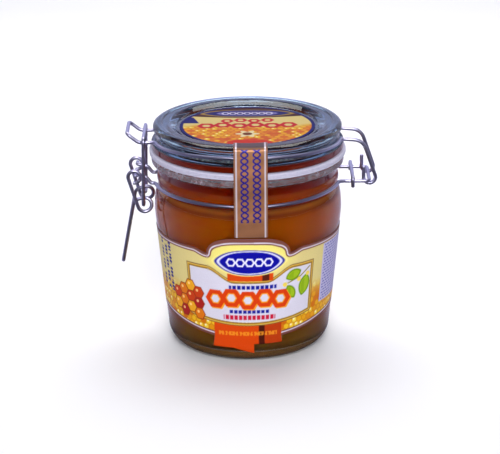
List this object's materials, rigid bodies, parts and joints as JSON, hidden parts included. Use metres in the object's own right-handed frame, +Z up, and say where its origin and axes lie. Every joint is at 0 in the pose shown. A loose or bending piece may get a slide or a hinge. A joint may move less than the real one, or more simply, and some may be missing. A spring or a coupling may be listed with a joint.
{
  "type": "honey jar",
  "caption": "Clip-top glass jar full of dark honey, with a glass lid, rubber ring, wire bail hinge, lever clasp, paper labels and a paper seal strip.",
  "frame": {"origin": "centre of the jar's axis on the surface the jar stands on", "axes": "+Z up along the jar's axis, front label towards -Y, clasp and lever at -X, lid hinge at +X"},
  "size_m": [0.1256, 0.0966, 0.1124],
  "materials": {
    "jar_glass": "smooth moulded glass",
    "lid_glass": "pressed glass, slightly wavy",
    "honey": "clear dark amber honey",
    "gasket_rubber": "smooth white rubber",
    "zinc_wire": "bright zinc-plated drawn wire",
    "label_paper": "printed coated paper",
    "lid_paper": "printed coated paper",
    "strip_paper": "printed copper-coloured paper"
  },
  "bodies": {
    "jar": {"jar_glass": "jar_glass", "honey": "honey", "gasket": "gasket_rubber", "lid_glass": "lid_glass", "lid_label": "lid_paper", "body_label": "label_paper", "seal_strip": "strip_paper", "lid_wire": "zinc_wire", "neck_wire": "zinc_wire", "hinge_tie": "zinc_wire"},
    "lever": {"lever": "zinc_wire"},
    "clasp": {"clasp": "zinc_wire"}
  },
  "joints": [
    {"name": "lever_hinge", "type": "hinge", "parent": "jar", "child": "lever", "pos_m": [-0.0546, 0, 0.0873], "axis": [0, 1, 0], "range_deg": [0, 95]},
    {"name": "clasp_hinge", "type": "hinge", "parent": "lever", "child": "clasp", "pos_m": [-0.0509, 0, 0.0732], "axis": [0, 1, 0], "range_deg": [-64, 0]}
  ],
  "couplings": [
    {"joint": "clasp_hinge", "follows": "lever_hinge", "ratio": -0.66}
  ]
}
